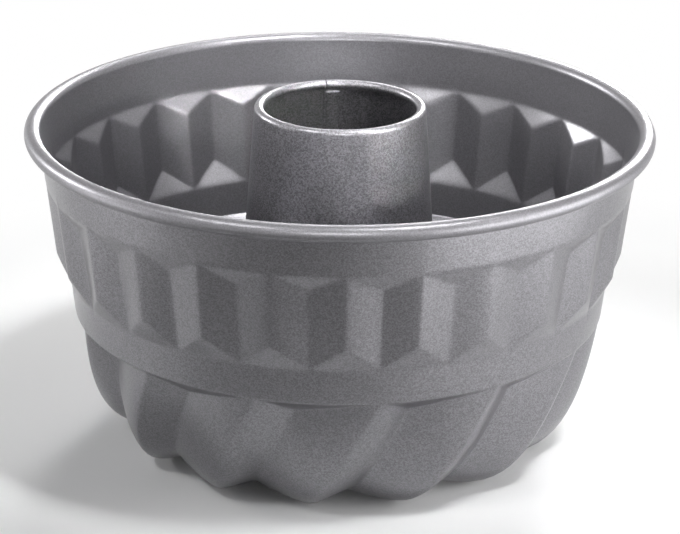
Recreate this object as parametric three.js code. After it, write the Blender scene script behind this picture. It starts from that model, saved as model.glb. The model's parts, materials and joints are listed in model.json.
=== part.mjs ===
// Kugelhopf mould: a deep-drawn, faceted and fluted ring mould of coated steel sheet,
// with a chimney rolled from its own sheet and hooked into the hole in the base.
// Millimetres, +Z up. Z = 0 is the plane the lobes stand on, the chimney's axis is Z,
// and the side seen in the photograph faces -Y.
import * as THREE from 'three';

// Sheet and rim
const SHEET = 0.6;
const CLEARANCE = 0.3;
const RIM_DIAMETER = 220;
const RIM_HEIGHT = 116;
const BEAD_DIAMETER = 5.7;
const BEAD_SWEEP_DEG = 300;
const BEAD_STEPS = 9;
const RIM_COLUMNS = 78;

// Wall and facet band
const DRAFT_DEG = 6.45;
const FACETS = 26;
const FACET_PHASE_DEG = 1.44;
const RIM_BAND = 19.2;
const FACET_HEIGHT = 35.4;
const VALLEY_DROP = 5.3;
const RIDGE_RISE = 8.5;
const VALLEY_DEPTH_TOP = 2.5;
const VALLEY_DEPTH_FOOT = 3.6;
const FACET_EDGE = 1.6;

// Fluted bowl
const FLUTES = 14;
const FLUTE_PHASE_DEG = 8.7;
const FLUTE_HEIGHT = 48.6;
const FLUTE_TWIST_DEG = -19.6;
const FLUTE_CREASE = 0.38;
const CREASE_DEPTH_TOP = 6.6;
const CREASE_DEPTH_FOOT = 5;
const ROOF_DROP = 7;
const RIDGE_FLAT = 0.12;
const RIDGE_ROOF_SHARE = 0.12;
const LOBE_FULLNESS = 1.15;
const FLUTE_ROWS = 6;
const FLUTE_DRAFT_DEG = 10;
const SIDE_REACH = 28.5;
const FLOOR_REACH = 23;
const STAND_DIAMETER = 117;
const PAD_LENGTH = 6;
const PAD_TWIST_SHARE = 1.05;

// Base and chimney seat
const BASE_HEIGHT = 6;
const BASE_FLAT = 6;
const COLLAR_LENGTH = 3.4;
const BASE_TWIST_SHARE = 1.3;
const RISE_CREASE_SHARE = 0.8;
const RISE_STEPS = [0.3, 0.65];
const BASE_COLUMNS = 42;

// Chimney
const CHIMNEY_HEIGHT = 121.3;
const CHIMNEY_TOP_DIAMETER = 60.2;
const CHIMNEY_FOOT_DIAMETER = 76.6;
const LIP_DIAMETER = 3.4;
const LIP_SWEEP_DEG = 250;
const LIP_STEPS = 7;
const HOOK_HEIGHT = 2.6;
const CHIMNEY_COLUMNS = 36;
const SEAM_DEG = 191;
const LAP_WIDTH = 5.6;
const LAP_TOP_GAP = 1.5;
const SEAM_GROOVE = 0.35;
const SEAM_WIDTH = 1;

const TURN = 2 * Math.PI;
const LEAST_MITRE = 0.7;
const rad = THREE.MathUtils.degToRad;
const mix = THREE.MathUtils.lerp;

// A point at radius r, height z and angle a, counted from the front (-Y) towards +X.
function at(r, a, z) {
  return new THREE.Vector3(r * Math.sin(a), -r * Math.cos(a), z);
}

// A skin is an open surface made of rings of points round the axis. Each ring is joined to the
// one before it by triangles, and their outer side is the skin's face.
class Skin {
  constructor() {
    this.points = [];
    this.faces = [];
    this.first = null;
    this.last = null;
  }

  // Adds the next ring: its points, and the angles by which they are matched to other rings.
  ring(angles, points) {
    const start = this.points.length;
    points.forEach((point) => this.points.push(point));
    const ring = { start, angles, count: points.length };
    if (this.last !== null) {
      this.join(this.last, ring);
    } else {
      this.first = ring;
    }
    this.last = ring;
    return ring;
  }

  // Joins two rings. Rings of one count are joined column by column along the shorter diagonal,
  // so that folds keep their edges; others are walked round together by angle.
  join(lower, upper) {
    const even = lower.count === upper.count;
    let i = 0;
    let j = 0;
    while (i < lower.count || j < upper.count) {
      const a = lower.start + (i % lower.count);
      const b = upper.start + (j % upper.count);
      const nextA = lower.start + ((i + 1) % lower.count);
      const nextB = upper.start + ((j + 1) % upper.count);
      if (even) {
        const along = this.points[a].distanceTo(this.points[nextB]);
        const across = this.points[nextA].distanceTo(this.points[b]);
        if (along < across) {
          this.faces.push([a, nextA, nextB], [a, nextB, b]);
        } else {
          this.faces.push([a, nextA, b], [nextA, nextB, b]);
        }
        i += 1;
        j += 1;
        continue;
      }
      const angleA = lower.angles[(i + 1) % lower.count] + (i + 1 >= lower.count ? TURN : 0);
      const angleB = upper.angles[(j + 1) % upper.count] + (j + 1 >= upper.count ? TURN : 0);
      const takeLower = j >= upper.count || (i < lower.count && angleA < angleB);
      if (takeLower) {
        this.faces.push([a, nextA, b]);
        i += 1;
      } else {
        this.faces.push([a, nextB, b]);
        j += 1;
      }
    }
  }

  // Gives the skin its sheet thickness on the side away from its face, one value per point,
  // and closes the two edges, so that the result is one solid sheet.
  thicken(thickness) {
    const count = this.points.length;
    const normals = this.points.map(() => new THREE.Vector3());
    const flats = this.points.map(() => []);
    const triangle = new THREE.Triangle();
    this.faces.forEach((face) => {
      triangle.set(...face.map((k) => this.points[k]));
      const flat = triangle.getNormal(new THREE.Vector3());
      face.forEach((k, corner) => {
        const here = this.points[k];
        const u = this.points[face[(corner + 1) % 3]].clone().sub(here);
        const v = this.points[face[(corner + 2) % 3]].clone().sub(here);
        const weight = u.angleTo(v);
        normals[k].addScaledVector(flat, weight);
        flats[k].push([flat, weight]);
      });
    });
    const back = this.points.map((point, k) => {
      const normal = normals[k].normalize();
      let lean = 0;
      let total = 0;
      flats[k].forEach(([flat, weight]) => {
        lean += weight * flat.dot(normal);
        total += weight;
      });
      const mitre = Math.max(lean / total, LEAST_MITRE);
      return point.clone().addScaledVector(normal, -thickness(k) / mitre);
    });
    const faces = this.faces.slice();
    this.faces.forEach(([a, b, c]) => faces.push([count + a, count + c, count + b]));
    for (let k = 0; k < this.first.count; k += 1) {
      const a = this.first.start + k;
      const b = this.first.start + ((k + 1) % this.first.count);
      faces.push([b, a, count + a], [b, count + a, count + b]);
    }
    for (let k = 0; k < this.last.count; k += 1) {
      const a = this.last.start + k;
      const b = this.last.start + ((k + 1) % this.last.count);
      faces.push([a, b, count + b], [a, count + b, count + a]);
    }
    const geometry = new THREE.BufferGeometry();
    geometry.setFromPoints(this.points.concat(back));
    geometry.setIndex(faces.flat());
    geometry.computeVertexNormals();
    return geometry;
  }
}

// Evenly spaced angles round the axis, starting at phase.
function evenly(count, phase) {
  return Array.from({ length: count }, (_, k) => phase + (TURN * k) / count);
}

function shell() {
  const skin = new Skin();
  const slope = Math.tan(rad(DRAFT_DEG));
  const rimRadius = RIM_DIAMETER / 2;
  const beadRadius = BEAD_DIAMETER / 2;
  const beadHeight = RIM_HEIGHT - beadRadius;
  const wallTop = rimRadius - BEAD_DIAMETER + SHEET;
  const wall = (z) => wallTop - slope * (beadHeight - z);

  // Heights from the rim down
  const facetTop = RIM_HEIGHT - RIM_BAND;
  const facetFoot = facetTop - FACET_HEIGHT;
  const valleyTop = facetTop - VALLEY_DROP;
  const ridgeFoot = facetFoot + RIDGE_RISE;
  const fluteTop = FLUTE_HEIGHT;
  const band = (z) => wall(z) - VALLEY_DEPTH_FOOT;

  // Base: collar edge, collar root, flat ring round the chimney
  const flutePhase = rad(FLUTE_PHASE_DEG);
  const collar = CHIMNEY_FOOT_DIAMETER / 2 + CLEARANCE + SHEET;
  const baseAngles = evenly(BASE_COLUMNS, flutePhase);
  const baseTwist = rad(FLUTE_TWIST_DEG) * BASE_TWIST_SHARE;
  const flatRing = (r, z) => skin.ring(baseAngles, baseAngles.map((a) => at(r, a + baseTwist, z)));
  flatRing(collar, BASE_HEIGHT - COLLAR_LENGTH);
  flatRing(collar, BASE_HEIGHT);
  flatRing(collar + BASE_FLAT, BASE_HEIGHT);

  // Columns of one flute: its ridge is a narrow flat, its valley a crease nearer one ridge.
  const pitch = TURN / FLUTES;
  const half = RIDGE_FLAT / 2;
  const columns = [];
  for (let k = 0; k < FLUTES; k += 1) {
    [0, 0.5, 1].forEach((x) => {
      columns.push({ u: k + mix(half, FLUTE_CREASE, x), depth: x ** LOBE_FULLNESS });
    });
    [0.75, 0.5, 0.25, 0].forEach((x) => {
      columns.push({ u: k + mix(1 - half, FLUTE_CREASE, x), depth: x ** LOBE_FULLNESS });
    });
  }
  const fluteAngles = columns.map((column) => flutePhase + pitch * column.u);
  const stand = STAND_DIAMETER / 2;
  const padOut = stand + PAD_LENGTH / 2;
  const padIn = stand - PAD_LENGTH / 2;
  const topRadius = band(fluteTop);

  // Ridge line of the bowl: straight down from the plain band, then round to the pads.
  const ridgeLine = new THREE.CubicBezierCurve(
    new THREE.Vector2(topRadius, fluteTop),
    new THREE.Vector2(topRadius - SIDE_REACH * Math.tan(rad(FLUTE_DRAFT_DEG)), fluteTop - SIDE_REACH),
    new THREE.Vector2(padOut + FLOOR_REACH, 0),
    new THREE.Vector2(padOut, 0),
  );
  function ridge(share) {
    const point = ridgeLine.getPointAt(share);
    const along = ridgeLine.getTangentAt(share);
    return { r: point.x, z: point.y, normal: new THREE.Vector2(-along.y, along.x) };
  }
  const twistAt = (share) => rad(FLUTE_TWIST_DEG) * share;

  // A row of the flutes: place gives the ridge point and the crease depth of each column.
  function fluteRow(place) {
    const points = columns.map((column, k) => {
      const { r, z, normal, share, depth } = place(column);
      const cut = depth * column.depth;
      return at(r - cut * normal.x, fluteAngles[k] + twistAt(share), z - cut * normal.y);
    });
    skin.ring(fluteAngles, points);
  }
  const down = new THREE.Vector2(0, -1);

  // From the flat ring, over a rounded rise, down to the pads
  RISE_STEPS.forEach((x) => {
    fluteRow(() => ({
      r: mix(collar + BASE_FLAT, padIn, x),
      z: BASE_HEIGHT * (0.5 + 0.5 * Math.cos(Math.PI * x)),
      normal: down,
      share: mix(BASE_TWIST_SHARE, PAD_TWIST_SHARE, x),
      depth: CREASE_DEPTH_FOOT * RISE_CREASE_SHARE * x,
    }));
  });
  [[padIn, PAD_TWIST_SHARE], [padOut, 1]].forEach(([r, share]) => {
    fluteRow(() => ({ r, z: 0, normal: down, share, depth: CREASE_DEPTH_FOOT }));
  });

  // Up the flutes to the sloping roof that closes each valley under the plain band
  const roofShare = ROOF_DROP / ridgeLine.getLength();
  for (let row = FLUTE_ROWS - 1; row >= 0; row -= 1) {
    fluteRow((column) => {
      const share = mix(roofShare * Math.max(column.depth, RIDGE_ROOF_SHARE), 1, row / FLUTE_ROWS);
      const depth = mix(CREASE_DEPTH_TOP, CREASE_DEPTH_FOOT, share);
      return { ...ridge(share), share, depth };
    });
  }
  skin.ring(fluteAngles, fluteAngles.map((a) => at(topRadius, a, fluteTop)));

  // Facet band: each ridge and each valley is a narrow strip between two columns.
  const facetPhase = rad(FACET_PHASE_DEG);
  const facetPitch = TURN / FACETS;
  const edge = FACET_EDGE / 2 / wall(facetTop);
  const strips = [];
  for (let k = 0; k < FACETS; k += 1) {
    const here = facetPhase + facetPitch * k;
    strips.push({ a: here + edge, valley: false });
    strips.push({ a: here + facetPitch / 2 - edge, valley: true });
    strips.push({ a: here + facetPitch / 2 + edge, valley: true });
    strips.push({ a: here + facetPitch - edge, valley: false });
  }
  const facetAngles = strips.map((strip) => strip.a);
  skin.ring(facetAngles, facetAngles.map((a) => at(band(facetFoot), a, facetFoot)));
  skin.ring(facetAngles, strips.map(({ a, valley }) => (valley
    ? at(wall(valleyTop) - VALLEY_DEPTH_TOP, a, valleyTop)
    : at(wall(ridgeFoot), a, ridgeFoot))));
  skin.ring(facetAngles, facetAngles.map((a) => at(wall(facetTop), a, facetTop)));

  // Rim band and the bead, rolled outwards and down round its own centre
  const rimAngles = evenly(RIM_COLUMNS, facetPhase);
  const beadCentre = rimRadius - beadRadius;
  const hollow = beadRadius - SHEET;
  for (let step = 0; step <= BEAD_STEPS; step += 1) {
    const turn = Math.PI - rad(BEAD_SWEEP_DEG) * (step / BEAD_STEPS);
    const r = beadCentre + hollow * Math.cos(turn);
    const z = beadHeight + hollow * Math.sin(turn);
    skin.ring(rimAngles, rimAngles.map((a) => at(r, a, z)));
  }
  return skin.thicken(() => SHEET);
}

function chimney() {
  const skin = new Skin();
  const foot = CHIMNEY_FOOT_DIAMETER / 2;
  const top = CHIMNEY_TOP_DIAMETER / 2;
  const lip = LIP_DIAMETER / 2;
  const lipHeight = CHIMNEY_HEIGHT - lip;
  const seam = rad(SEAM_DEG);
  const edge = SEAM_WIDTH / 2 / top;
  const lapEnd = seam - LAP_WIDTH / top;
  const lapStep = SHEET / top;

  // Columns: an even spacing, opened at the seam for its groove and for the lap's free edge
  const angles = evenly(CHIMNEY_COLUMNS, seam + edge).filter((a) => {
    const gap = seam + TURN - a;
    return gap > LAP_WIDTH / top + 2 * lapStep + edge;
  });
  angles.push(lapEnd - lapStep + TURN, lapEnd + TURN, (lapEnd + seam) / 2 + TURN);
  angles.push(seam - edge + TURN, seam + TURN);
  const isGroove = (a) => Math.abs(a - seam - TURN) < edge / 2;
  const isLap = (a) => a > lapEnd + TURN - edge / 4 && a < seam + TURN + edge / 2;

  const lapped = [];
  function row(r, z, flap, bite) {
    const points = angles.map((a) => {
      const cut = isGroove(a) ? SEAM_GROOVE : 0;
      lapped.push(flap && isLap(a));
      return at(r + cut * bite.x, a, z + cut * bite.y);
    });
    skin.ring(angles, points);
  }
  const inward = new THREE.Vector2(-1, 0);
  const none = new THREE.Vector2(0, 0);

  // Hook under the collar of the base, seen from the side that holds the collar
  const collarOut = foot + 2 * CLEARANCE + SHEET;
  const hookFloor = BASE_HEIGHT - COLLAR_LENGTH - CLEARANCE;
  row(collarOut, hookFloor + HOOK_HEIGHT, false, none);
  row(collarOut, hookFloor, false, none);
  row(foot, hookFloor, false, none);

  // Conical wall; the lap lies behind it and stops short of the lip
  const coneFoot = BASE_HEIGHT + SHEET;
  const cone = (z) => mix(foot, top, (z - coneFoot) / (lipHeight - coneFoot));
  const lapTop = lipHeight - lip - LAP_TOP_GAP;
  row(foot, coneFoot, false, none);
  row(cone(coneFoot + SHEET), coneFoot + SHEET, true, inward);
  row(cone(lapTop), lapTop, true, inward);
  row(cone(lapTop + SHEET), lapTop + SHEET, false, inward);

  // Lip, rolled over towards the axis
  for (let step = 0; step <= LIP_STEPS; step += 1) {
    const turn = rad(LIP_SWEEP_DEG) * (step / LIP_STEPS);
    const bite = new THREE.Vector2(-Math.cos(turn), -Math.sin(turn));
    row(top - lip + lip * Math.cos(turn), lipHeight + lip * Math.sin(turn), false, bite);
  }
  return skin.thicken((k) => (lapped[k] ? 2 * SHEET : SHEET));
}

const mould = new THREE.Group();
mould.name = 'kugelhopf_mould';

const shellMesh = new THREE.Mesh(
  shell(),
  new THREE.MeshStandardMaterial({ color: 0x7c7b7e, roughness: 0.45, metalness: 0.6 }),
);
shellMesh.name = 'shell';
mould.add(shellMesh);

const chimneyMesh = new THREE.Mesh(
  chimney(),
  new THREE.MeshStandardMaterial({ color: 0x6e6d71, roughness: 0.5, metalness: 0.6 }),
);
chimneyMesh.name = 'chimney';
mould.add(chimneyMesh);

export default mould;
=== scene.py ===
"""Looks of the kugelhopf mould: the fluted shell, the seamed chimney, their coatings and a stage."""
import json
import math
from typing import NamedTuple

import bpy
import numpy as np
from mathutils import Matrix, Vector


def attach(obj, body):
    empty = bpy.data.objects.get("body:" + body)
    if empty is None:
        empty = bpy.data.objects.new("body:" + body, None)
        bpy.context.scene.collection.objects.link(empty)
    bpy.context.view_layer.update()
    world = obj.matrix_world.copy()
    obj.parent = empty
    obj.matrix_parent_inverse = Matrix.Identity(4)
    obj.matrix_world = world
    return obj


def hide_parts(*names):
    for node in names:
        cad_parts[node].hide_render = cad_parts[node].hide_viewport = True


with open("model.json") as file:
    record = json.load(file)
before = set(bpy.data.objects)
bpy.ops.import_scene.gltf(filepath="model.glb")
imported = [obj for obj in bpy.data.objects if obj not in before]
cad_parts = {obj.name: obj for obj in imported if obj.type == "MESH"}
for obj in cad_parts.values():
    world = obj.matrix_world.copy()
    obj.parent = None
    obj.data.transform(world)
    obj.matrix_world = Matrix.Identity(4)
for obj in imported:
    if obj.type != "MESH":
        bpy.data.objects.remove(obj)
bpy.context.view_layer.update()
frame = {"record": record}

bl_info = {
    "name": "Kugelhopf Mould",
    "version": (1, 0, 0),
    "blender": (4, 5, 0),
    "location": "View3D > Sidebar > Mould",
    "description": "Builds a coated ring mould with facets, twisted flutes and a seamed chimney",
    "category": "Add Mesh",
}

MM = 0.001
TURN = 2 * math.pi
SLOT_COLOURS = {entry["slot"]: entry["base_color"] for entry in frame["record"]["materials"]}
WHITE = (1.0, 1.0, 1.0, 1.0)

# The photograph's width in pixels, and the width of the camera's sensor in millimetres
PHOTO_WIDTH = 680
SENSOR_WIDTH = 36.0

# Rows of points in each zone of the shell, from the collar up to the bead
COLLAR_ROWS, BEND_ROWS, FLAT_ROWS, RISE_ROWS = 4, 6, 4, 11
FLUTE_ROWS, BAND_ROWS, RIM_ROWS, BEAD_ROWS = 20, 5, 4, 27

# Rows of points in each zone of the chimney, and its columns over the lap and round the rest
HOOK_ROWS, HOOK_BEND_ROWS, CONE_ROWS, LIP_ROWS = 4, 9, 140, 22
LAP_COLUMNS, ROUND_COLUMNS = 34, 92

# Where extra rows keep the pressed edges crisp: shares of a slope, and distances from an edge
ROOF_STEPS = (0.0, 0.15, 0.35, 0.6, 0.85, 1.0)
TRIANGLE_STEPS = (0.0, 0.2, 0.5, 0.8, 1.0)
FACET_STEPS = (0.2, 0.4, 0.6, 0.8)
CREASE_EDGE = np.array([2.4, 1.2, 0.5]) * MM
FACET_EDGE = np.array([0.5, 1.2, 2.2]) * MM
EAVE_EDGE = (0.35 * MM, 0.9 * MM)

# Edges between faces that meet more sharply than this are shaded as edges
SHARP_ANGLE = math.radians(75.0)

# Noise in the coatings: size of specks and clouds, and what they do to the tone and the sheen
SPECK_SCALE, SPECK_TONE, SPECK_SHEEN = 0.7, 0.35, 0.06
CLOUD_SCALE, CLOUD_TONE, CLOUD_SHEEN = 28.0, 0.08, 0.05
NOISE_DETAIL, SPECK_DETAIL_SHARE = 2.0, 0.6
BUMP_STRENGTH, BUMP_HEIGHT = 0.2, 0.02 * MM


def length(name, description, millimetres):
    """A length property, written in millimetres."""
    return bpy.props.FloatProperty(
        name=name, description=description, default=millimetres * MM, min=0.0, unit="LENGTH", precision=5
    )


def angle(name, description, degrees):
    """An angle property, written in degrees."""
    return bpy.props.FloatProperty(
        name=name, description=description, default=math.radians(degrees), subtype="ANGLE"
    )


def share(name, description, value):
    """A property between 0 and 1."""
    return bpy.props.FloatProperty(
        name=name, description=description, default=value, min=0.0, max=1.0, subtype="FACTOR"
    )


def count(name, description, value):
    """A whole number property."""
    return bpy.props.IntProperty(name=name, description=description, default=value, min=3)


def amount(name, description, value):
    """A plain number property."""
    return bpy.props.FloatProperty(name=name, description=description, default=value, min=0.0)


def colour(name, description, value):
    """A linear colour property."""
    return bpy.props.FloatVectorProperty(
        name=name, description=description, default=value, size=3, min=0.0, max=1.0, subtype="COLOR"
    )


class ShellSizes(bpy.types.PropertyGroup):
    """Sizes of the drawn shell."""

    sheet: length("Sheet", "Thickness of the steel sheet", 0.6)
    rim_diameter: length("Rim", "Outer diameter of the rolled rim", 219.8)
    rim_height: length("Height", "Height of the rim above the worktop", 116.0)
    bead_diameter: length("Bead", "Diameter of the rolled rim's bead", 5.7)
    bead_sweep: angle("Bead sweep", "How far the rim is rolled round", 300.0)
    draft: angle("Draft", "Lean of the wall", 6.45)
    facets: count("Facets", "Ridges round the facet band", 26)
    facet_turn: angle("Facet turn", "Place of the first facet ridge, from the front", 1.44)
    rim_band: length("Rim band", "From the rim's top to the facets", 19.2)
    facet_height: length("Facet height", "Height of the facet band", 35.4)
    valley_drop: length("Valley drop", "Where the valleys start, below the facets' top", 5.3)
    ridge_rise: length("Ridge rise", "Where the ridges end, above the facets' foot", 8.5)
    valley_top: length("Valley depth at top", "Depth of the facet valleys at their top", 2.5)
    valley_foot: length("Valley depth at foot", "Depth of the facet valleys at their foot", 3.6)
    facet_fold: share("Facet fold", "Softness of the facets' upright edges", 0.06)
    facet_round: length("Facet rounding", "Softness of the facets' sloping edges", 0.42)
    flutes: count("Flutes", "Lobes round the bowl", 14)
    flute_turn: angle("Flute turn", "Place of the first flute's ridge, from the front", 8.7)
    flute_height: length("Flute height", "Height of the flutes' top edge", 48.6)
    flute_twist: angle("Twist", "Turn of a flute from its top to the worktop", -19.6)
    crease_place: share("Crease place", "Where the crease lies between two ridges", 0.38)
    crease_top: length("Crease depth at top", "Depth of the creases under their roofs", 6.6)
    crease_foot: length("Crease depth at foot", "Depth of the creases at the worktop", 5.0)
    lobe_fullness: amount("Lobe fullness", "How full a lobe's section is, where 1 is straight", 1.15)
    lobe_fold: share("Lobe fold", "Softness of the flutes' ridges and creases", 0.05)
    roof_drop: length("Roof drop", "Height of the slope that closes a crease at its top", 7.0)
    roof_round: length("Roof rounding", "Softness of the roofs' edges", 0.45)
    flute_draft: angle("Flute draft", "Lean of the flutes under the band", 10.0)
    side_reach: length("Side reach", "How far the flutes run down before they turn in", 28.5)
    floor_reach: length("Floor reach", "How far the flutes run in over the worktop", 23.0)
    stand_diameter: length("Stand", "Diameter of the ring the lobes stand on", 117.0)
    pad_length: length("Pads", "Length of the flat that each lobe stands on", 6.0)
    base_height: length("Base", "Height of the flat ring round the hole", 6.0)
    base_flat: length("Base flat", "Width of the flat ring round the hole", 6.0)
    collar_radius: length("Collar", "Radius of the collar round the hole", 39.2)
    collar_length: length("Collar length", "How far the collar is turned down", 3.4)
    base_twist: amount("Base twist", "Share of the twist at the flat ring", 1.3)
    pad_twist: amount("Pad twist", "Share of the twist at the pads' inner end", 1.05)


class ChimneySizes(bpy.types.PropertyGroup):
    """Sizes of the rolled chimney."""

    sheet: length("Sheet", "Thickness of the steel sheet", 0.6)
    height: length("Height", "Height of the chimney's lip", 121.2)
    top_diameter: length("Top", "Diameter of the chimney at its lip", 60.2)
    foot_diameter: length("Foot", "Diameter of the chimney at the base", 76.6)
    foot_height: length("Foot height", "Height where the cone starts", 6.6)
    lip_diameter: length("Lip", "Diameter of the rolled lip", 3.4)
    lip_sweep: angle("Lip sweep", "How far the lip is rolled inwards", 250.0)
    hook_gap: length("Hook gap", "Room inside the hook for the collar", 1.2)
    hook_floor: length("Hook floor", "Height of the hook's inner floor", 2.3)
    hook_height: length("Hook height", "How far the hook comes up round the collar", 2.6)
    seam_turn: angle("Seam", "Place of the seam, from the front", 191.0)
    lap_width: length("Lap", "Width of the lapped sheet behind the seam", 5.6)
    lap_top: length("Lap top", "Height where the lapped sheet stops", 116.4)
    lap_round: length("Lap rounding", "Width of the lapped sheet's rounded sides", 0.9)
    lap_swell: share("Lap swell", "How much the lap stands off below its pressed top end", 0.9)
    lap_press: length("Pressed end", "Height of the lap's pressed top end", 18.0)
    groove_depth: length("Groove depth", "Depth of the seam's groove", 0.35)
    groove_width: length("Groove width", "Width of the seam's groove", 1.0)
    weld_pitch: length("Weld pitch", "Distance between spot welds down the lap", 12.0)
    weld_diameter: length("Weld", "Diameter of a spot weld's dimple", 2.2)
    weld_depth: length("Weld depth", "Depth of a spot weld's dimple", 0.25)


class CoatingLook(bpy.types.PropertyGroup):
    """Looks of the two non-stick coatings."""

    shell_colour: colour("Shell", "Colour of the shell's coating", SLOT_COLOURS["shell_coating"])
    chimney_colour: colour(
        "Chimney", "Colour of the chimney's coating", SLOT_COLOURS["chimney_coating"]
    )
    shell_grain: length("Shell grain", "Size of the sparkling flakes on the shell", 0.35)
    chimney_grain: length("Chimney grain", "Size of the sparkling flakes on the chimney", 0.42)
    shell_sparkle: share("Shell sparkle", "How far the flakes vary outside the shell", 0.5)
    inside_sparkle: share("Inside sparkle", "How far the flakes vary inside the shell", 0.3)
    chimney_sparkle: share("Chimney sparkle", "How far the flakes vary on the chimney", 0.75)
    metal: share("Metal", "How metallic the coating looks", 0.85)
    shell_roughness: share("Shell roughness", "Mean roughness of the shell's coating", 0.3)
    inside_roughness: share("Inside roughness", "Mean roughness of the coating inside the shell", 0.4)
    chimney_roughness: share("Chimney roughness", "Mean roughness of the chimney's coating", 0.38)


class StageLook(bpy.types.PropertyGroup):
    """Floor, light and camera."""

    floor_colour: colour("Floor", "Colour of the floor", (0.86, 0.86, 0.86))
    floor_size: length("Floor size", "Width of the floor", 8000.0)
    paper_radius: length("Paper", "Where the floor's paper starts to pass into the white sweep", 185.0)
    sweep_radius: length("Sweep", "Where the white sweep is reached", 380.0)
    sky_strength: amount("Sky", "Strength of the pale backdrop above the floor", 0.8)
    lamp_strength: amount("Lamps", "Strength of all the lamps together", 1.0)
    camera_tilt: angle("Camera tilt", "How far the camera looks down", 21.38)
    camera_roll: angle("Camera roll", "Turn of the camera about its view", 0.62)
    camera_distance: length("Camera distance", "From the camera to the point it looks at", 936.74)
    aim_height: length("Aim height", "Height of the point the camera looks at", 60.19)
    aim_side: length("Aim side", "How far the camera's aim is moved to the right", 0.52)
    focal_pixels: amount("Focal length", "Focal length in pixels of the photograph", 2621.9)


def mix(a, b, t):
    """The value at share t of the way from a to b."""
    return a + (b - a) * t


def smooth_min(a, b, width):
    """The lesser of a and b, rounded where they cross."""
    near = np.clip(0.5 + 0.5 * (b - a) / width, 0.0, 1.0)
    return b + (a - b) * near - width * near * (1.0 - near)


def smooth_max(a, b, width):
    """The greater of a and b, rounded where they cross."""
    return -smooth_min(-a, -b, width)


def smooth_step(x):
    """A soft step from 0 to 1 as x goes from 0 to 1."""
    t = np.clip(x, 0.0, 1.0)
    return t * t * (3.0 - 2.0 * t)


def fold(x, softness):
    """A fold's share of depth, 0 on the ridge at x = 0 and 1 in the valley at x = 1, rounded at both."""
    reach = (1.0 - 0.5 * (softness * math.pi) ** 2) * np.cos(math.pi * x)
    level = np.arccos(reach) / math.pi
    start = math.acos(1.0 - 0.5 * (softness * math.pi) ** 2) / math.pi
    return np.clip((level - start) / (1.0 - 2.0 * start), 0.0, 1.0)


def dense_ends(steps):
    """Shares from 0 up to, but not including, 1, closer together at both ends."""
    return (1.0 - np.cos(math.pi * np.arange(steps) / steps)) / 2.0


class Skin:
    """One face of a sheet: rows of points round the axis, from its lower edge to its upper one."""

    def __init__(self, angles):
        self.angles = np.asarray(angles)
        self.rows = []

    def row(self, radius, height, angles=None):
        """Adds a row. Angles count from the front towards the right."""
        turn = self.angles if angles is None else angles
        turn, radius, height = np.broadcast_arrays(turn, radius, height)
        self.rows.append(np.stack([radius * np.sin(turn), -radius * np.cos(turn), height], axis=1))

    def normals(self, points):
        """Unit normals on the skin's face."""
        along = np.roll(points, -1, axis=1) - np.roll(points, 1, axis=1)
        up = np.gradient(points, axis=0)
        out = np.cross(along, up)
        return out / np.linalg.norm(out, axis=2, keepdims=True)

    def solid(self, name, thickness):
        """A closed mesh of the sheet, which lies behind the face and is as thick as given at each point.

        The face takes the first material, and the back and the edges take the second.
        """
        points = np.array(self.rows)
        rows, columns = points.shape[:2]
        back = points - self.normals(points) * np.broadcast_to(thickness, (rows, columns))[..., None]
        here = np.arange(rows * columns).reshape(rows, columns)
        beside = np.roll(here, -1, axis=1)
        behind = rows * columns

        def quads(a, b, c, d):
            return np.stack([a.ravel(), b.ravel(), c.ravel(), d.ravel()], axis=1)

        faces = np.concatenate([
            quads(here[:-1], beside[:-1], beside[1:], here[1:]),
            quads(here[:-1], here[1:], beside[1:], beside[:-1]) + behind,
            quads(here[0], here[0] + behind, beside[0] + behind, beside[0]),
            quads(here[-1], beside[-1], beside[-1] + behind, here[-1] + behind),
        ])
        mesh = bpy.data.meshes.new(name)
        mesh.from_pydata(np.concatenate([points, back]).reshape(-1, 3).tolist(), [], faces.tolist())
        front_faces = (rows - 1) * columns
        slots = (np.arange(len(faces)) >= front_faces).astype(np.int32)
        mesh.polygons.foreach_set("material_index", slots)
        mesh.shade_smooth()
        mesh.set_sharp_from_angle(angle=SHARP_ANGLE)
        return mesh


class RidgeLine:
    """The line that a flute's ridge follows from the plain band down to the worktop."""

    def __init__(self, start, start_pull, end_pull, end, samples=600):
        t = np.linspace(0.0, 1.0, samples)[:, None]
        corners = [np.array(corner) for corner in (start, start_pull, end_pull, end)]
        weights = [(1 - t) ** 3, 3 * t * (1 - t) ** 2, 3 * t**2 * (1 - t), t**3]
        self.points = sum(weight * corner for weight, corner in zip(weights, corners))
        steps = np.linalg.norm(np.diff(self.points, axis=0), axis=1)
        distance = np.concatenate([[0.0], np.cumsum(steps)])
        self.length = distance[-1]
        self.shares = distance / self.length
        along = np.gradient(self.points, distance, axis=0)
        self.along = along / np.linalg.norm(along, axis=1, keepdims=True)

    def at(self, where):
        """Radius, height and the two parts of the outward normal at a share of the length."""
        r, z = (np.interp(where, self.shares, self.points[:, k]) for k in range(2))
        along_r, along_z = (np.interp(where, self.shares, self.along[:, k]) for k in range(2))
        return r, z, -along_z, along_r


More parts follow.
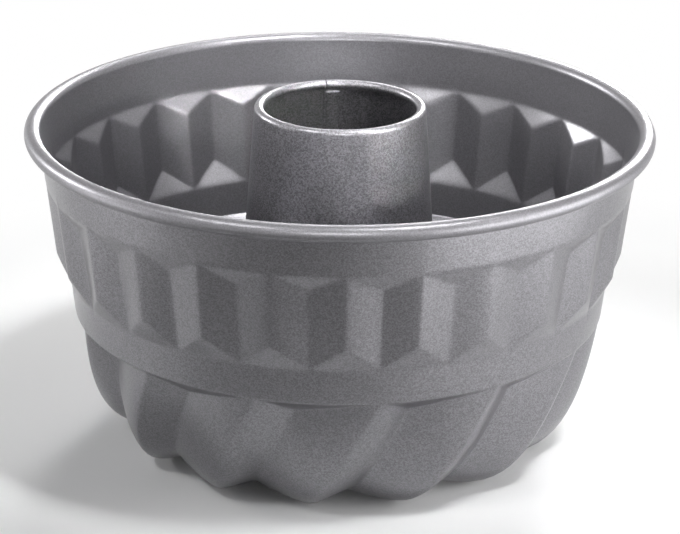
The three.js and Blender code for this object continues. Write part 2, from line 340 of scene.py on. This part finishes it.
def shell_mesh(size):
    """The drawn shell, from the collar round its hole up to the rolled rim."""
    slope = math.tan(size.draft)
    bead = size.bead_diameter / 2
    bead_centre = size.rim_diameter / 2 - bead
    bead_height = size.rim_height - bead
    hollow = bead - size.sheet

    def wall(z):
        return bead_centre - hollow - slope * (bead_height - z)

    facet_top = size.rim_height - size.rim_band
    facet_foot = facet_top - size.facet_height

    # Columns: as many for each facet and each flute as make one common count
    per_facet, per_flute = size.flutes, size.facets
    half = dense_ends(per_facet // 2)
    facet_place = np.concatenate([half / 2, 0.5 + half / 2])
    facet_pitch = TURN / size.facets
    facet_steps = (np.arange(size.facets)[:, None] + facet_place).ravel()
    facet_angles = size.facet_turn + facet_pitch * facet_steps
    facet_x = np.tile(1.0 - np.abs(1.0 - 2.0 * facet_place), size.facets)
    short = round(per_flute * size.crease_place)
    down_side, up_side = dense_ends(short), dense_ends(per_flute - short)
    flute_place = np.concatenate([down_side * size.crease_place, mix(size.crease_place, 1.0, up_side)])
    flute_pitch = TURN / size.flutes
    flute_steps = (np.arange(size.flutes)[:, None] + flute_place).ravel()
    flute_angles = size.flute_turn + flute_pitch * flute_steps
    flute_x = np.tile(np.concatenate([down_side, 1.0 - up_side]), size.flutes)
    shift = int(np.argmin(np.abs(facet_angles - flute_angles[0])))
    facet_angles = np.concatenate([facet_angles[shift:], facet_angles[:shift] + TURN])
    facet_x = np.roll(facet_x, -shift)
    lobe = fold(flute_x, size.lobe_fold) ** size.lobe_fullness

    skin = Skin(flute_angles)

    # Collar, bend and flat ring round the hole
    bend = 1.0 * MM
    collar_turn = flute_angles + size.flute_twist * size.base_twist
    base = size.base_height
    for z in np.linspace(base - size.collar_length, base - bend, COLLAR_ROWS)[:-1]:
        skin.row(size.collar_radius, z, collar_turn)
    for turn in np.linspace(0.0, math.pi / 2, BEND_ROWS):
        r = size.collar_radius + bend * (1.0 - math.cos(turn))
        skin.row(r, base - bend * (1.0 - math.sin(turn)), collar_turn)
    flat_edge = size.collar_radius + size.base_flat
    for r in np.linspace(size.collar_radius + bend, flat_edge, FLAT_ROWS)[1:]:
        skin.row(r, base, collar_turn)

    # Rounded rise down to the pads that the lobes stand on
    pad_out = (size.stand_diameter + size.pad_length) / 2
    pad_in = pad_out - size.pad_length
    even, late = 0.8, 0.2
    for x in np.linspace(0.0, 1.0, RISE_ROWS)[1:]:
        cut = size.crease_foot * lobe * (even * x + late * x**4)
        z = base * (0.5 + 0.5 * math.cos(math.pi * x)) + cut
        twist = size.flute_twist * mix(size.base_twist, size.pad_twist, x)
        skin.row(mix(flat_edge, pad_in, x), z, flute_angles + twist)
    for t in (1 / 3, 2 / 3):
        twist = size.flute_twist * mix(size.pad_twist, 1.0, t)
        skin.row(mix(pad_in, pad_out, t), size.crease_foot * lobe, flute_angles + twist)

    # Flutes, up to the roofs that close the creases under the plain band
    def band(z):
        return wall(z) - size.valley_foot

    top = size.flute_height
    ridge = RidgeLine(
        (band(top), top),
        (band(top) - size.side_reach * math.tan(size.flute_draft), top - size.side_reach),
        (pad_out + size.floor_reach, 0.0),
        (pad_out, 0.0),
    )
    roof_slope = size.crease_top / size.roof_drop

    def flute_cut(where):
        full = mix(size.crease_top, size.crease_foot, np.clip(where, 0.0, 1.0)) * lobe
        roof = smooth_max(0.0, roof_slope * where * ridge.length, size.roof_round)
        return smooth_min(full, roof, size.roof_round)

    def flute_row(where):
        r, z, out_r, out_z = ridge.at(where)
        cut = flute_cut(where)
        skin.row(r - cut * out_r, z - cut * out_z, flute_angles + size.flute_twist * where)

    least_drop = 1.0 * MM
    roof_foot = np.maximum(size.roof_drop * lobe, least_drop) / ridge.length
    soft = CREASE_EDGE / ridge.length
    for t in np.linspace(0.0, 1.0, FLUTE_ROWS)[:-1]:
        flute_row(mix(1.0, roof_foot + soft[0], t))
    for extra in soft:
        flute_row(roof_foot + extra)
    for t in ROOF_STEPS:
        flute_row(roof_foot * (1.0 - t))
    for above in EAVE_EDGE:
        cut = flute_cut(-above / ridge.length)
        skin.row(band(top + above) - cut, top + above)

    # Plain band, where the columns pass from the flutes' places to the facets' own
    eave_margin, sill_margin = 2.0 * MM, 3.0 * MM
    band_foot, band_top = top + eave_margin, facet_foot - sill_margin
    for t in np.linspace(0.0, 1.0, BAND_ROWS):
        z = mix(band_foot, band_top, t)
        skin.row(band(z), z, mix(flute_angles, facet_angles, t))

    # Facet band: upright folds, closed by a sloping triangle at each valley's top and each ridge's foot
    top_slope = size.valley_top / size.valley_drop
    foot_slope = size.valley_foot / size.ridge_rise
    side = fold(facet_x, size.facet_fold)

    def facet_row(z):
        fall = (facet_top - z) / size.facet_height
        valley = mix(size.valley_top, size.valley_foot, np.clip(fall, 0.0, 1.0))
        roof = smooth_max(0.0, (facet_top - z) * top_slope, size.facet_round)
        sill = size.valley_foot - (z - facet_foot) * foot_slope
        sill = smooth_min(size.valley_foot, sill, size.facet_round)
        body = smooth_min(valley * side, roof, size.facet_round)
        skin.row(wall(z) - smooth_max(body, sill, size.facet_round), z, facet_angles)

    gap = 1.0 * MM
    sill_line = np.maximum(facet_foot + size.ridge_rise * (1.0 - facet_x), facet_foot + gap)
    roof_line = np.minimum(facet_top - size.valley_drop * facet_x, facet_top - gap)
    for below in FACET_EDGE[::-1]:
        facet_row(facet_foot - below)
    for t in TRIANGLE_STEPS:
        facet_row(mix(facet_foot, sill_line, t))
    for above in FACET_EDGE:
        facet_row(sill_line + above)
    for t in FACET_STEPS:
        facet_row(mix(sill_line + FACET_EDGE[-1], roof_line - FACET_EDGE[-1], t))
    for below in FACET_EDGE[::-1]:
        facet_row(roof_line - below)
    for t in TRIANGLE_STEPS:
        facet_row(mix(roof_line, facet_top, t))
    for above in FACET_EDGE:
        facet_row(facet_top + above)

    # Plain rim band and the bead, rolled outwards and down round its own centre
    rim_margin = 4.0 * MM
    for z in np.linspace(facet_top + rim_margin, bead_height, RIM_ROWS):
        skin.row(wall(z), z, facet_angles)
    for turn in np.linspace(math.pi - size.draft, math.pi - size.bead_sweep, BEAD_ROWS):
        r = bead_centre + hollow * math.cos(turn)
        skin.row(r, bead_height + hollow * math.sin(turn), facet_angles)
    return skin.solid("mould_shell", size.sheet)


def chimney_mesh(size):
    """The rolled chimney, from the hook under the shell's collar up to the lip rolled inwards."""
    foot, top = size.foot_diameter / 2, size.top_diameter / 2
    lip = size.lip_diameter / 2
    lip_height = size.height - lip
    lap_end = size.seam_turn - size.lap_width / top

    # Columns: even all round, and close together over the lap and the seam
    margin = 1.2 * MM / top
    seam_side = np.linspace(lap_end - margin, size.seam_turn + margin, LAP_COLUMNS)
    rest = np.linspace(seam_side[-1], seam_side[0] + TURN, ROUND_COLUMNS)[1:-1]
    angles = np.concatenate([seam_side, rest])
    skin = Skin(angles)

    from_seam = np.abs((angles - size.seam_turn + math.pi) % TURN - math.pi) * top
    groove = size.groove_depth * (1.0 - smooth_step(2.0 * from_seam / size.groove_width))
    from_lap = (angles - lap_end) * top
    to_seam = (size.seam_turn - angles) * top
    lapped = smooth_step(from_lap / size.lap_round) * smooth_step(to_seam / size.lap_round)
    weld_place = 0.55
    weld_angle = mix(lap_end, size.seam_turn, weld_place)
    thickness = []

    def row(r, z, bite=(0.0, 0.0), flap=0.0, dimple=0.0):
        skin.row(r + groove * bite[0], z + groove * bite[1])
        thickness.append(size.sheet * (1.0 + flap * lapped) - dimple)

    # Hook under the collar
    inner = size.hook_gap / 2
    hook_centre = size.hook_floor + inner
    for z in np.linspace(size.hook_floor + size.hook_height, hook_centre, HOOK_ROWS)[:-1]:
        row(foot + size.hook_gap, z)
    for turn in np.linspace(0.0, math.pi, HOOK_BEND_ROWS):
        row(foot + inner + inner * math.cos(turn), hook_centre - inner * math.sin(turn))
    for z in np.linspace(hook_centre, size.foot_height, HOOK_ROWS)[1:-1]:
        row(foot, z)

    # Cone, with the lap behind it and a line of spot welds down the lap
    def cone(z):
        return mix(foot, top, (z - size.foot_height) / (lip_height - size.foot_height))

    lap_foot = size.foot_height + size.sheet
    inward = (-1.0, 0.0)
    first_weld, last_weld = size.lap_top - size.weld_pitch / 2, lap_foot + size.weld_pitch / 3
    welds = np.arange(first_weld, last_weld, -size.weld_pitch)
    edge = 0.12 * MM
    pressed = 0.6
    ends = (lap_foot, lap_foot + edge, size.lap_top - edge, size.lap_top)
    heights = np.linspace(size.foot_height, lip_height, CONE_ROWS)[:-1]
    for z in np.sort(np.append(heights, ends)):
        swell = pressed + size.lap_swell * np.clip((size.lap_top - z) / size.lap_press, 0.0, 1.0)
        flap = swell * smooth_step((z - lap_foot) / edge) * smooth_step((size.lap_top - z) / edge)
        near = np.min(np.abs(welds - z))
        away = np.hypot((angles - weld_angle) * top, near) / (size.weld_diameter / 2)
        row(cone(z), z, inward, flap, size.weld_depth * (1.0 - smooth_step(away)))

    # Lip, rolled over towards the axis
    lean = math.atan2(foot - top, lip_height - size.foot_height)
    for turn in np.linspace(lean, size.lip_sweep, LIP_ROWS):
        bite = (-math.cos(turn), -math.sin(turn))
        row(top - lip + lip * math.cos(turn), lip_height + lip * math.sin(turn), bite)
    return skin.solid("mould_chimney", np.array(thickness))


class Value:
    """An output socket that can stand in a sum, which adds the Math nodes it needs."""

    def __init__(self, shader, socket):
        self.shader = shader
        self.socket = socket

    def _math(self, operation, *terms):
        sockets = dict(enumerate(terms))
        return self.shader.node("ShaderNodeMath", {"operation": operation}, sockets)["Value"]

    def __add__(self, other):
        return self._math("ADD", self, other)

    def __sub__(self, other):
        return self._math("SUBTRACT", self, other)

    def __mul__(self, other):
        return self._math("MULTIPLY", self, other)

    def __rsub__(self, other):
        return self._math("SUBTRACT", other, self)

    __radd__ = __add__
    __rmul__ = __mul__

    def greater(self, other):
        """The greater of two values."""
        return self._math("MAXIMUM", self, other)


class Outputs:
    """A node's outputs by name, as values."""

    def __init__(self, shader, node):
        self.shader = shader
        self.outputs = node.outputs

    def __getitem__(self, name):
        return Value(self.shader, self.outputs[name])


class Shader:
    """A node tree under construction."""

    def __init__(self, owner):
        owner.use_nodes = True
        self.tree = owner.node_tree
        self.tree.nodes.clear()

    def node(self, kind, settings, sockets):
        """Adds a node: its settings first, then the values or links of its inputs."""
        node = self.tree.nodes.new(kind)
        for name, value in settings.items():
            setattr(node, name, value)
        for key, value in sockets.items():
            if isinstance(value, Value):
                self.tree.links.new(value.socket, node.inputs[key])
            else:
                node.inputs[key].default_value = value
        return Outputs(self, node)


def coating(name, roughness, sparkle, base, grain, metal):
    """Satin non-stick coating: a metallic grey full of fine flakes that catch the light one by one."""
    material = bpy.data.materials.new(name)
    shader = Shader(material)
    place = shader.node("ShaderNodeTexCoord", {}, {})["Object"]
    flakes = shader.node(
        "ShaderNodeTexVoronoi", {"voronoi_dimensions": "3D"}, {"Vector": place, "Scale": 1.0 / grain}
    )["Color"]
    flake = shader.node("ShaderNodeSeparateColor", {}, {"Color": flakes})["Red"]
    speck = shader.node("ShaderNodeTexNoise", {}, {
        "Vector": place,
        "Scale": SPECK_SCALE / grain,
        "Detail": NOISE_DETAIL,
        "Roughness": SPECK_DETAIL_SHARE,
    })["Fac"] - 0.5
    cloud = shader.node(
        "ShaderNodeTexNoise", {}, {"Vector": place, "Scale": CLOUD_SCALE, "Detail": NOISE_DETAIL}
    )["Fac"] - 0.5
    level = 1.0 + (flake - 0.5) * sparkle + speck * (SPECK_TONE * sparkle) + cloud * CLOUD_TONE
    shade = shader.node("ShaderNodeCombineXYZ", {}, {"X": level, "Y": level, "Z": level})["Vector"]
    tint = shader.node(
        "ShaderNodeVectorMath", {"operation": "MULTIPLY"}, {0: shade, 1: base}
    )["Vector"]
    bump = shader.node(
        "ShaderNodeBump", {}, {"Strength": BUMP_STRENGTH, "Distance": BUMP_HEIGHT, "Height": speck}
    )["Normal"]
    surface = shader.node("ShaderNodeBsdfPrincipled", {}, {
        "Base Color": tint,
        "Metallic": metal,
        "Roughness": roughness + speck * SPECK_SHEEN + cloud * CLOUD_SHEEN,
        "Normal": bump,
    })["BSDF"]
    shader.node("ShaderNodeOutputMaterial", {}, {"Surface": surface})
    return material


def place_piece(mesh, node, materials):
    """Puts a mesh into the scene in place of its CAD node."""
    piece = bpy.data.objects.new(mesh.name, mesh)
    bpy.context.scene.collection.objects.link(piece)
    for material in materials:
        mesh.materials.append(material)
    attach(piece, "root")
    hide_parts(node)


class MOULD_OT_shell(bpy.types.Operator):
    """Builds the drawn shell with its rolled rim, facets and flutes"""

    bl_idname = "mould.shell"
    bl_label = "Shell"

    def execute(self, context):
        look = context.scene.mould_coating
        finish = (look.shell_colour, look.shell_grain, look.metal)
        outside = coating("shell_outside", look.shell_roughness, look.shell_sparkle, *finish)
        inside = coating("shell_inside", look.inside_roughness, look.inside_sparkle, *finish)
        mesh = shell_mesh(context.scene.mould_shell)
        place_piece(mesh, "shell", (outside, inside))
        return {"FINISHED"}


class MOULD_OT_chimney(bpy.types.Operator):
    """Builds the rolled chimney with its lip, seam and hook"""

    bl_idname = "mould.chimney"
    bl_label = "Chimney"

    def execute(self, context):
        look = context.scene.mould_coating
        finish = (look.chimney_sparkle, look.chimney_colour, look.chimney_grain, look.metal)
        outside = coating("chimney_outside", look.chimney_roughness, *finish)
        bore = coating("chimney_bore", look.shell_roughness, *finish)
        mesh = chimney_mesh(context.scene.mould_chimney)
        place_piece(mesh, "chimney", (outside, bore))
        return {"FINISHED"}


class Lamp(NamedTuple):
    """A soft rectangular light, placed round its aim in degrees and metres."""

    name: str
    azimuth: float
    elevation: float
    distance: float
    aim: tuple
    size: tuple
    spread: float
    watts: float

    def place(self):
        """The lamp's place, from the azimuth from the front towards the right and the elevation."""
        turn, rise = math.radians(self.azimuth), math.radians(self.elevation)
        level = self.distance * math.cos(rise)
        away = Vector((level * math.sin(turn), -level * math.cos(turn), self.distance * math.sin(rise)))
        return Vector(self.aim) + away


# Points that the lamps are aimed at
BODY = (0.0, 0.0, 0.06)
WALL = (0.0, 0.0, 0.08)
INSIDE = (0.0, 0.06, 0.09)
RIGHT_FLOOR = (0.16, -0.05, 0.0)
FRONT_WALL = (0.0, -0.1, 0.095)
RIGHT_WALL = (0.09, -0.04, 0.1)
CHIMNEY_TOP = (0.0, -0.005, 0.108)
BACK_BAND = (0.0, 0.1, 0.105)
SEAM_TOP = (0.0, 0.028, 0.11)

# Spread of a lamp's light in degrees
OPEN, FLOOD, NARROW, SNOOT = 180.0, 60.0, 20.0, 7.0

LAMPS = (
    Lamp("back_key", 180, 48, 1.1, BODY, (0.3, 0.2), OPEN, 1.9),
    Lamp("back_right", 155, 38, 1.1, BODY, (0.3, 0.2), OPEN, 0.8),
    Lamp("low_back_left", -115, 16, 1.1, RIGHT_WALL, (0.8, 0.16), NARROW, 0.26),
    Lamp("low_back_right", 165, 15, 1.1, FRONT_WALL, (0.6, 0.16), NARROW, 0.42),
    Lamp("strip_left", -75, 0, 0.3, WALL, (0.16, 0.15), OPEN, 0.125),
    Lamp("strip_right", 75, 0, 0.3, WALL, (0.16, 0.15), OPEN, 0.29),
    Lamp("strip_right_front", 45, 0, 0.3, WALL, (0.16, 0.15), OPEN, 0.29),
    Lamp("flood_right", 60, 40, 0.9, RIGHT_FLOOR, (0.3, 0.3), FLOOD, 0.16),
    Lamp("top_left", -45, 50, 1.1, INSIDE, (0.3, 0.3), NARROW, 0.125),
    Lamp("top_right", 50, 68, 1.1, INSIDE, (0.3, 0.3), NARROW, 0.3),
    Lamp("front_low", 2, 17, 1.1, BACK_BAND, (0.5, 0.1), NARROW, 0.105),
    Lamp("front_right", 60, 15, 0.6, CHIMNEY_TOP, (0.05, 0.05), SNOOT, 0.011),
    Lamp("bore_right", 40, 30, 0.6, SEAM_TOP, (0.05, 0.05), SNOOT, 0.008),
)

# Middle of the floor's paper
PAPER_CENTRE = (0.03, -0.11, 0.0)


def seen_rays(shader):
    """1 for what the camera sees and for what shows in metal or through glass, else 0."""
    path = shader.node("ShaderNodeLightPath", {}, {})
    straight = path["Is Camera Ray"].greater(path["Is Glossy Ray"])
    return straight.greater(path["Is Transmission Ray"])


def floor(look):
    """A pale paper floor that passes into a white sweep further out, clear when seen from below."""
    half = look.floor_size / 2
    mesh = bpy.data.meshes.new("floor")
    corners = [(-half, -half, 0), (half, -half, 0), (half, half, 0), (-half, half, 0)]
    mesh.from_pydata(corners, [], [(0, 1, 2, 3)])
    material = bpy.data.materials.new("floor_paper")
    shader = Shader(material)
    paper = shader.node("ShaderNodeBsdfDiffuse", {}, {"Color": (*look.floor_colour, 1.0)})["BSDF"]
    sweep = shader.node("ShaderNodeEmission", {}, {"Color": WHITE, "Strength": 1.0})["Emission"]
    place = shader.node("ShaderNodeTexCoord", {}, {})["Object"]
    reach = shader.node(
        "ShaderNodeVectorMath", {"operation": "DISTANCE"}, {0: place, 1: PAPER_CENTRE}
    )["Value"]
    far = shader.node("ShaderNodeMapRange", {"interpolation_type": "SMOOTHSTEP"}, {
        "Value": reach, "From Min": look.paper_radius, "From Max": look.sweep_radius
    })["Result"]
    white = far * seen_rays(shader)
    ground = shader.node("ShaderNodeMixShader", {}, {0: white, 1: paper, 2: sweep})["Shader"]
    clear = shader.node("ShaderNodeBsdfTransparent", {}, {})["BSDF"]
    below = shader.node("ShaderNodeNewGeometry", {}, {})["Backfacing"]
    surface = shader.node("ShaderNodeMixShader", {}, {0: below, 1: ground, 2: clear})["Shader"]
    shader.node("ShaderNodeOutputMaterial", {}, {"Surface": surface})
    mesh.materials.append(material)
    obj = bpy.data.objects.new("floor", mesh)
    bpy.context.scene.collection.objects.link(obj)


def panel(lamp, strength):
    """Stands a lamp in the scene, turned to its aim and out of the camera's sight."""
    light = bpy.data.lights.new(lamp.name, "AREA")
    light.shape = "RECTANGLE"
    light.size, light.size_y = lamp.size
    light.spread = math.radians(lamp.spread)
    light.energy = lamp.watts * strength
    obj = bpy.data.objects.new(lamp.name, light)
    bpy.context.scene.collection.objects.link(obj)
    obj.location = lamp.place()
    obj.rotation_euler = (Vector(lamp.aim) - obj.location).to_track_quat("-Z", "Y").to_euler()
    obj.visible_camera = False


def sky(look):
    """A pale backdrop all round, which is seen and mirrored, but sheds no light on the floor."""
    world = bpy.data.worlds.new("studio")
    bpy.context.scene.world = world
    shader = Shader(world)
    light = shader.node("ShaderNodeBackground", {}, {
        "Color": WHITE, "Strength": seen_rays(shader) * look.sky_strength
    })["Background"]
    shader.node("ShaderNodeOutputWorld", {}, {"Surface": light})


def camera(look):
    """A camera in front of the mould, looking down on it."""
    lens = bpy.data.cameras.new("camera")
    lens.sensor_fit = "HORIZONTAL"
    lens.sensor_width = SENSOR_WIDTH
    lens.lens = look.focal_pixels * SENSOR_WIDTH / PHOTO_WIDTH
    ahead = Vector((0.0, math.cos(look.camera_tilt), -math.sin(look.camera_tilt)))
    level_up = Vector((0.0, math.sin(look.camera_tilt), math.cos(look.camera_tilt)))
    level_right = Vector((1.0, 0.0, 0.0))
    turn_cos, turn_sin = math.cos(look.camera_roll), math.sin(look.camera_roll)
    right = level_right * turn_cos + level_up * turn_sin
    up = level_up * turn_cos - level_right * turn_sin
    turned = Matrix((right, up, -ahead)).transposed().to_4x4()
    place = Vector((look.aim_side, 0.0, look.aim_height)) - ahead * look.camera_distance
    obj = bpy.data.objects.new("camera", lens)
    bpy.context.scene.collection.objects.link(obj)
    obj.matrix_world = Matrix.Translation(place) @ turned
    bpy.context.scene.camera = obj


class MOULD_OT_stage(bpy.types.Operator):
    """Builds the floor, the lamps, the pale backdrop and the camera"""

    bl_idname = "mould.stage"
    bl_label = "Stage"

    def execute(self, context):
        look = context.scene.mould_stage
        floor(look)
        for lamp in LAMPS:
            panel(lamp, look.lamp_strength)
        sky(look)
        camera(look)
        context.scene.view_settings.view_transform = "Standard"
        return {"FINISHED"}


class MOULD_PT_sidebar(bpy.types.Panel):
    """The mould's settings and the buttons that build it"""

    bl_label = "Kugelhopf Mould"
    bl_idname = "MOULD_PT_sidebar"
    bl_space_type = "VIEW_3D"
    bl_region_type = "UI"
    bl_category = "Mould"

    def draw(self, context):
        for operator, settings in STEPS:
            box = self.layout.box()
            box.operator(operator.bl_idname)
            for group in settings:
                values = getattr(context.scene, group)
                for name in values.__annotations__:
                    box.prop(values, name)


STEPS = (
    (MOULD_OT_shell, ("mould_shell", "mould_coating")),
    (MOULD_OT_chimney, ("mould_chimney",)),
    (MOULD_OT_stage, ("mould_stage",)),
)
GROUPS = {
    "mould_shell": ShellSizes,
    "mould_chimney": ChimneySizes,
    "mould_coating": CoatingLook,
    "mould_stage": StageLook,
}
CLASSES = (*GROUPS.values(), MOULD_OT_shell, MOULD_OT_chimney, MOULD_OT_stage, MOULD_PT_sidebar)


def register():
    for cls in CLASSES:
        bpy.utils.register_class(cls)
    for name, group in GROUPS.items():
        setattr(bpy.types.Scene, name, bpy.props.PointerProperty(type=group))


def unregister():
    for name in GROUPS:
        delattr(bpy.types.Scene, name)
    for cls in reversed(CLASSES):
        bpy.utils.unregister_class(cls)


def main():
    register()
    bpy.ops.mould.shell()
    bpy.ops.mould.chimney()
    bpy.ops.mould.stage()


if __name__ == "__main__":
    main()
